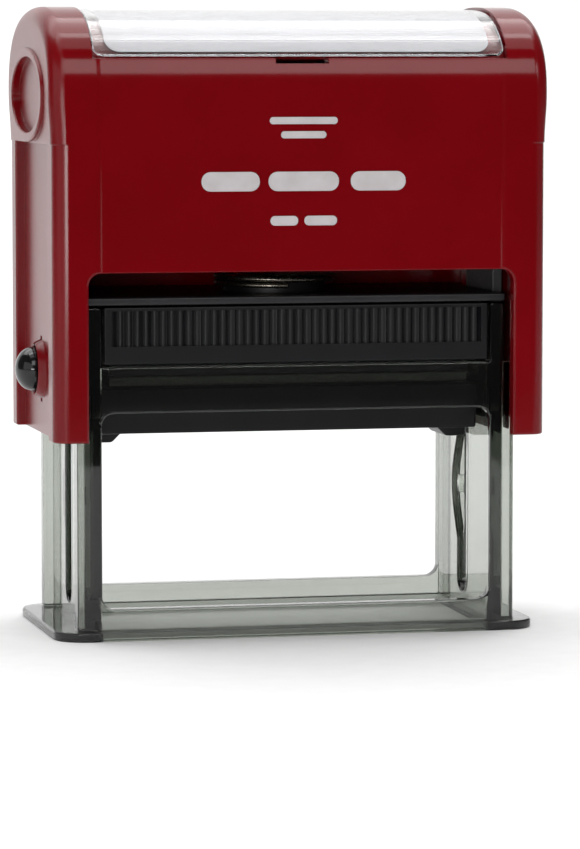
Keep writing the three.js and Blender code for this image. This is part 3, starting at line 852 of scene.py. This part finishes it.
def makeSideParts(materials):
    b = buttonSizes
    for side, word in ((-1, "left"), (1, "right")):
        for nodeName, key, body, slot, edge in (
                (f"{word}_axle_pin", "groundSteel", "platen_unit", "pin_steel", 0.3),
                (f"{word}_flip_pin", "greyNylon", "platen_unit", "grey_plastic", 0.25)):
            low, high = boxOf(nodeName)
            centre = (0, 0, (low[2] + high[2]) / 2)
            radius = (high[1] - low[1]) / 2
            pin = lathe(nodeName.replace("_", "") + "Bar", pinProfile(radius, low[0], high[0], edge), "x", centre)
            finished(pin, body, materials[key], [nodeName])
        bushName = f"{word}_slot_bush"
        low, high = boxOf(bushName)
        ring = ringProfile(platenSizes["axleHole"], (high[1] - low[1]) / 2, low[0], high[0], 0.12)
        bush = lathe(f"{word}SlotBush", ring, "x", (0, 0, motion["axleZ"]))
        finished(bush, "cap", materials["acetal"], [bushName])
        # the button: half ellipse dome, short rim, shaft, and a neck with two ears behind the wall
        turn = np.linspace(0, math.pi / 2, 17)
        dome = np.stack([b["radius"] * np.sin(turn), b["collar"] + (b["tip"] - b["collar"]) * np.cos(turn)], 1)
        profile = np.concatenate([dome, [(b["radius"], b["collar"] - 0.15), (b["shaft"], b["collar"] - 0.4),
                                         (b["shaft"], b["shaftIn"] + 0.1), (b["shaft"] - 0.2, b["shaftIn"]),
                                         (b["neck"], b["shaftIn"]),
                                         (b["neck"], b["earIn"]), (0, b["earIn"])]])
        dome = lathe(f"{word}LockButton", profile * [1, side], "x", (0, 0, b["z"]))
        x0, x1 = sideSpan(side, b["earIn"], b["earIn"] + b["earThick"])
        ears = block("ears", (x0, -b["earHalf"], b["z"] - b["earHalfZ"]),
                     (x1, b["earHalf"], b["z"] + b["earHalfZ"]))
        softened(ears, 0.15, 2)
        join(dome, ears)
        finished(dome, f"{word}_lock", materials["blackGloss"], [f"{word}_button"])
    print("side parts")


viewSizes = {"place": (-0.1528, -0.678, 0.0916), "yaw": 12.91, "pitch": 4.92, "lens": 184.2}


def makeCamera():
    v = viewSizes
    data = bpy.data.cameras.new("camera")
    data.lens = v["lens"]
    data.sensor_width = 36
    data.clip_start, data.clip_end = 0.01, 50
    camera = bpy.data.objects.new("camera", data)
    bpy.context.scene.collection.objects.link(camera)
    yaw, pitch = math.radians(v["yaw"]), math.radians(v["pitch"])
    ahead = Vector((math.sin(yaw) * math.cos(pitch), math.cos(yaw) * math.cos(pitch), -math.sin(pitch)))
    camera.location = v["place"]
    camera.rotation_mode = "QUATERNION"
    camera.rotation_quaternion = ahead.to_track_quat("-Z", "Y")
    bpy.context.scene.camera = camera


def areaLight(name, place, target, size, power):
    data = bpy.data.lights.new(name, "AREA")
    data.shape = "RECTANGLE"
    data.size, data.size_y = size
    data.energy = power
    lamp = bpy.data.objects.new(name, data)
    lamp.location = place
    lamp.rotation_mode = "QUATERNION"
    lamp.rotation_quaternion = (Vector(target) - Vector(place)).to_track_quat("-Z", "Y")
    bpy.context.scene.collection.objects.link(lamp)


stageSizes = {"halfWide": 0.75, "front": -0.3, "bend": 0.45, "radius": 0.35, "high": 1.3}


def makeStage():
    # a pale paper sweep: flat under the stamp, bent up on a quarter circle behind it
    g = stageSizes
    turn = np.linspace(0, math.pi / 2, 25)
    curve = np.stack([g["bend"] + g["radius"] * np.sin(turn), g["radius"] * (1 - np.cos(turn))], 1)
    line = np.concatenate([[(g["front"], 0)], curve, [(g["bend"] + g["radius"], g["high"])]])
    left = placed(line, "x", -g["halfWide"]) / mmToM
    right = placed(line, "x", g["halfWide"]) / mmToM
    near = np.arange(len(line) - 1)
    faces = np.stack([near, near + len(line), near + len(line) + 1, near + 1], 1).tolist()
    sweep = meshObject("paperSweep", np.concatenate([left, right]), faces)
    sweep.data.polygons.foreach_set("use_smooth", np.ones(len(sweep.data.polygons), bool))
    material, tree, shader, _, place = newMaterial("seamlessPaper")
    grain = noiseAt(tree, place, 4, 3)
    tree.links.new(tint(tree, grain.outputs["Fac"], "F3F3F3", "F6F6F6"), shader.inputs["Base Color"])
    shader.inputs["Roughness"].default_value = 0.9
    shader.inputs["Specular IOR Level"].default_value = 0.1
    sweep.data.materials.append(material)
    world = bpy.data.worlds.new("studio")
    bpy.context.scene.world = world
    world.use_nodes = True
    world.node_tree.nodes["Background"].inputs["Color"].default_value = colour("FFFFFF")
    world.node_tree.nodes["Background"].inputs["Strength"].default_value = 0.08
    areaLight("backTop", (0.0, 0.62, 1.0), (0, 0.0, 0.0), (1.7, 0.9), 13)
    areaLight("backWall", (0.0, 0.1, 1.25), (0, 0.85, 0.4), (1.2, 0.3), 5)
    areaLight("overhead", (0.0, -0.1, 0.95), (0, -0.1, 0.0), (1.0, 0.6), 2.4)
    areaLight("frontBox", (0.0, -0.8, 0.6), (0, 0, 0.06), (0.85, 0.4), 3.1)
    areaLight("leftBox", (-0.85, -0.6, 0.3), (0, 0, 0.06), (1.4, 0.6), 2.2)
    areaLight("rightBox", (0.5, -0.6, 0.42), (0, 0, 0.06), (0.14, 0.2), 0.5)
    areaLight("lowFill", (-0.3, -0.75, 0.05), (0, 0, 0.05), (0.3, 0.08), 0.8)
    bpy.context.scene.view_settings.view_transform = "Standard"


makeCamera()
materials = makeMaterials()
makeStage()
makeCap(materials)
makePrint(materials)
makeWindow(materials)
makeFrame(materials)
makeBridge(materials)
makePad(materials)
makeSpring(materials)
makePlaten(materials)
makeDie(materials)
makeYoke(materials)
makeSideParts(materials)
